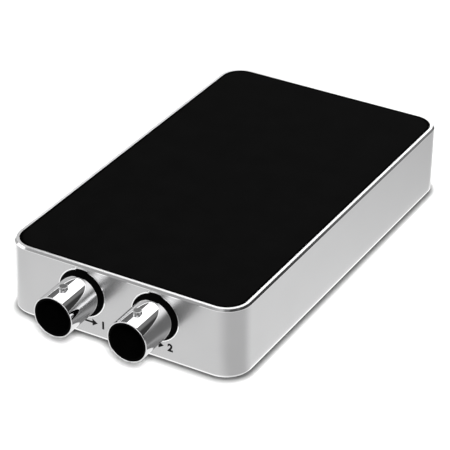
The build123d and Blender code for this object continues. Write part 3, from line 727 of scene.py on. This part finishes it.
ink = printedInk()
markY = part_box("housing")[0].y - marks["wallGap"]
for jack in ("thru", "input"):
    low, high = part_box(jack + "_jack_barrel")
    midX = (low.x + high.x) / 2
    sign = marks[jack]
    tail, tip = midX + sign["tail"], midX + sign["tip"]
    shape = arrow(tail, tip, marks["z"], marks["height"], marks["line"])
    mark = plate(jack + "Arrow", shape, markY, marks["thick"])
    mark.data.materials.append(ink)
    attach(mark, "root")
    text = bpy.data.curves.new(jack + "Number", "FONT")
    text.body = sign["number"]
    text.size = marks["height"] / marks["capShare"]
    text.offset = marks["bold"]
    text.align_x = "CENTER"
    text.extrude = marks["thick"] / 2
    text.materials.append(ink)
    digit = bpy.data.objects.new(jack + "Number", text)
    bpy.context.scene.collection.objects.link(digit)
    digit.rotation_euler = (math.radians(90), 0, 0)
    foot = marks["z"] - marks["height"] / 2
    digit.location = (midX + sign["numberX"], markY - marks["thick"] / 2, foot)
    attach(digit, "root")
print("marks printed")


# floor; a pair of places is where one level fades over to the next, and a place "from"
# a wall of the housing is measured from there

floorLook = {
    "size": 8.0,
    "colour": 0.88,
    "seen": 0.93,  # by the camera
    "contactSamples": 16,
    "contactDark": 0.09,
    "contactReach": (2.0 * mm, 1.6 * mm),  # before the front wall, and behind that
    "contactPower": (1.9, 3.5),
    "contactFromFront": (-1 * mm, 6 * mm),
    "mirrored": (1.0, 0.70),
    "mirroredY": (-20 * mm, 110 * mm),
    "left": 0.95,
    "leftX": (-26 * mm, -48 * mm),
    "front": 0.965,
    "fromFront": (0 * mm, -3 * mm),
    "corner": 0.705,  # in a wedge round the front right corner
    "cornerFromRight": 3.2 * mm,
    "cornerFromFront": 3.4 * mm,
    "cornerTurn": (-22, 144),
    "cornerSoft": (1.1, 0.8),
    "side": 1.5,  # in a strip along the right wall
    "sideFromRight": (1.4 * mm, 0.4 * mm),
    "sideFromFront": (2 * mm, 8 * mm),
    "second": (1.0, 0.27),  # in a second mirror
    "secondX": (-60 * mm, -15 * mm),
    "stripe": 0.72,
    "stripeX": (-20 * mm, -12 * mm),
    "stripeY": (-57 * mm, -53 * mm, -52 * mm, -48.5 * mm),
    "stripeEnd": 0.25,
}


def whiteFloor():
    mat, tree, shader = newMaterial("whiteFloor")
    tree.nodes.remove(shader)
    path = addNode(tree, "ShaderNodeLightPath")
    x, y = axes(tree)[:2]
    low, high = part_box("housing")
    look = floorLook

    # the camera sees it bright, with a painted contact shadow from ambient occlusion next to
    # the housing
    ends = [low.y + end for end in look["contactFromFront"]]
    close = addNode(tree, "ShaderNodeAmbientOcclusion", samples=look["contactSamples"])
    tree.links.new(fade(tree, y, *ends, *look["contactReach"]), close.inputs["Distance"])
    power = fade(tree, y, *ends, *look["contactPower"])
    curve = sums(tree, "POWER", close.outputs["AO"], power)
    lift = spread(tree, curve, look["contactDark"], 1.0, 0, 1)
    seen = sums(tree, "MULTIPLY", lift, look["seen"])
    colour = mixLevel(tree, path.outputs["Is Camera Ray"], look["colour"], seen)
    matt = addNode(tree, "ShaderNodeBsdfDiffuse")
    tree.links.new(colour, matt.inputs["Color"])

    # painted reflection: for glossy rays the floor glows, darker to the back and round the
    # front right corner, and brighter close to the right wall
    level = fade(tree, y, *look["mirroredY"], *look["mirrored"])
    leftward = fade(tree, x, *look["leftX"], 1, look["left"])
    forward = fade(tree, y, *(low.y + end for end in look["fromFront"]), 1, look["front"])
    level = product(tree, level, leftward, forward)
    aside = sums(tree, "SUBTRACT", x, high.x - look["cornerFromRight"])
    ahead = sums(tree, "SUBTRACT", low.y + look["cornerFromFront"], y)
    around = sums(tree, "ARCTAN2", aside, ahead)
    first, last = (math.radians(turn) for turn in look["cornerTurn"])
    firstSoft, lastSoft = look["cornerSoft"]
    opening = fade(tree, around, first, first + firstSoft)
    closing = fade(tree, around, last, last - lastSoft)
    level = mixLevel(tree, product(tree, opening, closing), level, look["corner"])
    besideX = fade(tree, x, *(high.x + end for end in look["sideFromRight"]))
    besideY = fade(tree, y, *(low.y + end for end in look["sideFromFront"]))
    side = fade(tree, product(tree, besideX, besideY), 0, 1, 1, look["side"])
    level = product(tree, level, side)

    # painted reflection: in a second mirror the glow is dark, with a painted light stripe
    # before the front wall
    second = fade(tree, x, *look["secondX"], *look["second"])
    begin, full, still, end = look["stripeY"]
    stripe = product(
        tree,
        fade(tree, y, begin, full),
        fade(tree, y, end, still, look["stripeEnd"], 1.0),
        fade(tree, x, *look["stripeX"]),
    )
    second = mixLevel(tree, stripe, second, look["stripe"])
    level = mixLevel(tree, deeper(tree, path, "Glossy Depth", 1), level, second)
    glow = addNode(tree, "ShaderNodeEmission")
    tree.links.new(level, glow.inputs["Strength"])

    glossy, through = path.outputs["Is Glossy Ray"], path.outputs["Is Transmission Ray"]
    mirrored = sums(tree, "MAXIMUM", glossy, through)
    direct = sums(tree, "LESS_THAN", path.outputs["Diffuse Depth"], 0.5)
    pick = addNode(tree, "ShaderNodeMixShader")
    tree.links.new(product(tree, mirrored, direct), pick.inputs[0])
    tree.links.new(matt.outputs[0], pick.inputs[1])
    tree.links.new(glow.outputs[0], pick.inputs[2])
    tree.links.new(pick.outputs[0], tree.nodes["Material Output"].inputs["Surface"])
    return mat


half = floorLook["size"] / 2
corners = [(-half, -half, 0), (half, -half, 0), (half, half, 0), (-half, half, 0)]
floorMesh = bpy.data.meshes.new("floor")
floorMesh.from_pydata(corners, [], [(0, 1, 2, 3)])
floor = bpy.data.objects.new("floor", floorMesh)
floor.data.materials.append(whiteFloor())
bpy.context.scene.collection.objects.link(floor)


# sky; a patch is its side, azimuth in degrees towards +X, from +Y at the back or -Y in
# front, elevation in degrees, softness, and the level at its lower and upper edge

skyLook = {
    "base": 0.45,
    "patches": [
        ("front", (-70, 25), (44, 56), 3.0, (0.30, 0.58)),
        ("front", (-70, 25), (56, 80), 3.0, (0.6, 0.6)),
        ("front", (15, 170), (44, 70), 12.0, (0.2, 0.2)),
        ("front", (-60, -20), (-3, 15), 3.0, (1.2, 1.2)),
        ("front", (20, 170), (-90, 14), 4.0, (0.05, 0.05)),
        ("front", (40, 170), (8, 48), 3.0, (0.04, 0.05)),
        ("front", (45, 170), (48, 70), 8.0, (0.045, 0.08)),
        ("front", (-36, 44), (17, 41), 3.5, (2.1, 2.1)),
        ("front", (-90, -55), (15, 42), 3.0, (1.6, 1.6)),
        ("back", (-90, -60), (3, 40), 2.0, (0.45, 0.45)),
        ("back", (19, 60), (-90, 42), 1.0, (0.045, 0.045)),
        ("back", (12, 33), (-5, 42), 3.0, (0.20, 0.22)),
        ("back", (-60, 19), (-2, 34), 1.0, (0.10, 0.19)),
        ("back", (-28, 19), (16, 29), 1.0, (1.8, 1.8)),
        ("back", (-60, 19), (34, 72), 1.0, (2.1, 2.1)),
        ("back", (-100, -40), (40, 90), 6.0, (0.7, 0.7)),
    ],
    "secondRise": (12, 32),  # from low to high in a second mirror
    "secondLow": (1.0, 0.25),  # left and right of the front
    "secondLowTurn": (-35, -5),
    "secondHigh": (0.6, 1.9),
    "secondHighTurn": (-5, 22),
    "secondRight": 0.35,  # share of the high level at the far right
    "secondRightTurn": (50, 80),
    "secondLeft": 2.4,  # the high level at the far left
    "secondLeftTurn": (-50, -80),
    "third": 2.7,  # in a third mirror, to the left
    "thirdTurn": (0, -15),
    "fill": 0.12,  # on matt surfaces, whose light comes from the lamps
    "seen": 1.0,  # by the camera
}


def skyLight():
    world = bpy.context.scene.world or bpy.data.worlds.new("sky")
    bpy.context.scene.world = world
    world.use_nodes = True
    tree = world.node_tree
    path = addNode(tree, "ShaderNodeLightPath")
    look = skyLook
    x, y, z = axes(tree, "Generated")
    fromFront = sums(tree, "ARCTAN2", x, sums(tree, "MULTIPLY", y, -1))
    turns = {"front": fromFront, "back": sums(tree, "ARCTAN2", x, y)}
    rise = sums(tree, "ARCSINE", z)

    def sweep(angle, ends, low=0.0, high=1.0):
        # from low to high between two angles in degrees
        return fade(tree, angle, *(math.radians(end) for end in ends), low, high)

    def between(angle, low, high, soft):
        # 1 between two angles, 0 outside
        start = sweep(angle, (low - soft, low + soft))
        return product(tree, start, sweep(angle, (high - soft, high + soft), 1, 0))

    level = look["base"]
    for side, azimuth, elevation, soft, levels in look["patches"]:
        across, up = between(turns[side], *azimuth, soft), between(rise, *elevation, soft)
        shade = spread(tree, rise, *levels, *(math.radians(end) for end in elevation))
        level = mixLevel(tree, product(tree, across, up), level, shade)

    high = sweep(fromFront, look["secondHighTurn"], *look["secondHigh"])
    right = sweep(fromFront, look["secondRightTurn"], 1.0, look["secondRight"])
    left = sweep(fromFront, look["secondLeftTurn"])
    high = mixLevel(tree, left, product(tree, high, right), look["secondLeft"])
    low = sweep(fromFront, look["secondLowTurn"], *look["secondLow"])
    second = mixLevel(tree, sweep(rise, look["secondRise"]), low, high)
    leftward = sweep(fromFront, look["thirdTurn"])
    third = product(tree, deeper(tree, path, "Glossy Depth", 2), leftward)
    second = mixLevel(tree, third, second, look["third"])
    level = mixLevel(tree, deeper(tree, path, "Glossy Depth", 1), level, second)
    level = mixLevel(tree, deeper(tree, path, "Diffuse Depth", 0), level, look["fill"])
    level = mixLevel(tree, path.outputs["Is Camera Ray"], level, look["seen"])
    background = tree.nodes["Background"]
    background.inputs["Color"].default_value = (1, 1, 1, 1)
    tree.links.new(level, background.inputs["Strength"])


skyLight()


# lamps; turn in degrees from -Y towards +X, rise in degrees, the rest in metres and watts

lamps = [
    {"name": "topBox", "turn": 140, "rise": 80, "away": 3.0, "size": 1.5, "power": 4.0},
    {"name": "keyBox", "turn": 33, "rise": 39, "away": 3.0, "size": 0.6, "power": 142.0},
    {"name": "backBox", "turn": 195, "rise": 24, "away": 3.0, "size": 1.6, "power": 44.0},
]


def direction(turn, rise):
    # turn from -Y towards +X and rise above the floor, in radians
    flat = math.cos(rise)
    return Vector((math.sin(turn) * flat, -math.cos(turn) * flat, math.sin(rise)))


for lamp in lamps:
    light = bpy.data.lights.new(lamp["name"], "AREA")
    light.shape = "SQUARE"
    light.size = lamp["size"]
    light.energy = lamp["power"]
    holder = bpy.data.objects.new(lamp["name"], light)
    aside = direction(math.radians(lamp["turn"]), math.radians(lamp["rise"]))
    holder.location = aside * lamp["away"]
    holder.rotation_euler = aside.to_track_quat("Z", "Y").to_euler()
    holder.visible_glossy = False
    holder.visible_camera = False
    bpy.context.scene.collection.objects.link(holder)
print("studio set")


# camera, fitted to the outlines in the photo

shot = {
    "azimuth": 29.5244,
    "elevation": 30.7110,
    "roll": 0.6125,
    "distance": 464.276 * mm,
    "aim": (13.1302 * mm, -21.7020 * mm, 22.9564 * mm),
    "lens": 172.418,  # with a sensor this wide, both in millimetres
    "sensor": 36,
    "nearest": 0.01,
    "farthest": 50,
}


def setCamera():
    azimuth, elevation, roll = (math.radians(shot[k]) for k in ("azimuth", "elevation", "roll"))
    back = direction(azimuth, elevation)
    right = Vector((0, 0, 1)).cross(back).normalized()
    up = back.cross(right)
    tiltedRight = right * math.cos(roll) + up * math.sin(roll)
    tiltedUp = up * math.cos(roll) - right * math.sin(roll)
    place = Vector(shot["aim"]) + back * shot["distance"]
    data = bpy.data.cameras.new("camera")
    data.sensor_fit = "HORIZONTAL"
    data.sensor_width = shot["sensor"]
    data.lens = shot["lens"]
    data.clip_start, data.clip_end = shot["nearest"], shot["farthest"]
    camera = bpy.data.objects.new("camera", data)
    tilt = Matrix((tiltedRight, tiltedUp, back)).transposed()
    camera.matrix_world = Matrix.Translation(place) @ tilt.to_4x4()
    bpy.context.scene.collection.objects.link(camera)
    bpy.context.scene.camera = camera


setCamera()
bpy.context.scene.view_settings.view_transform = "Standard"
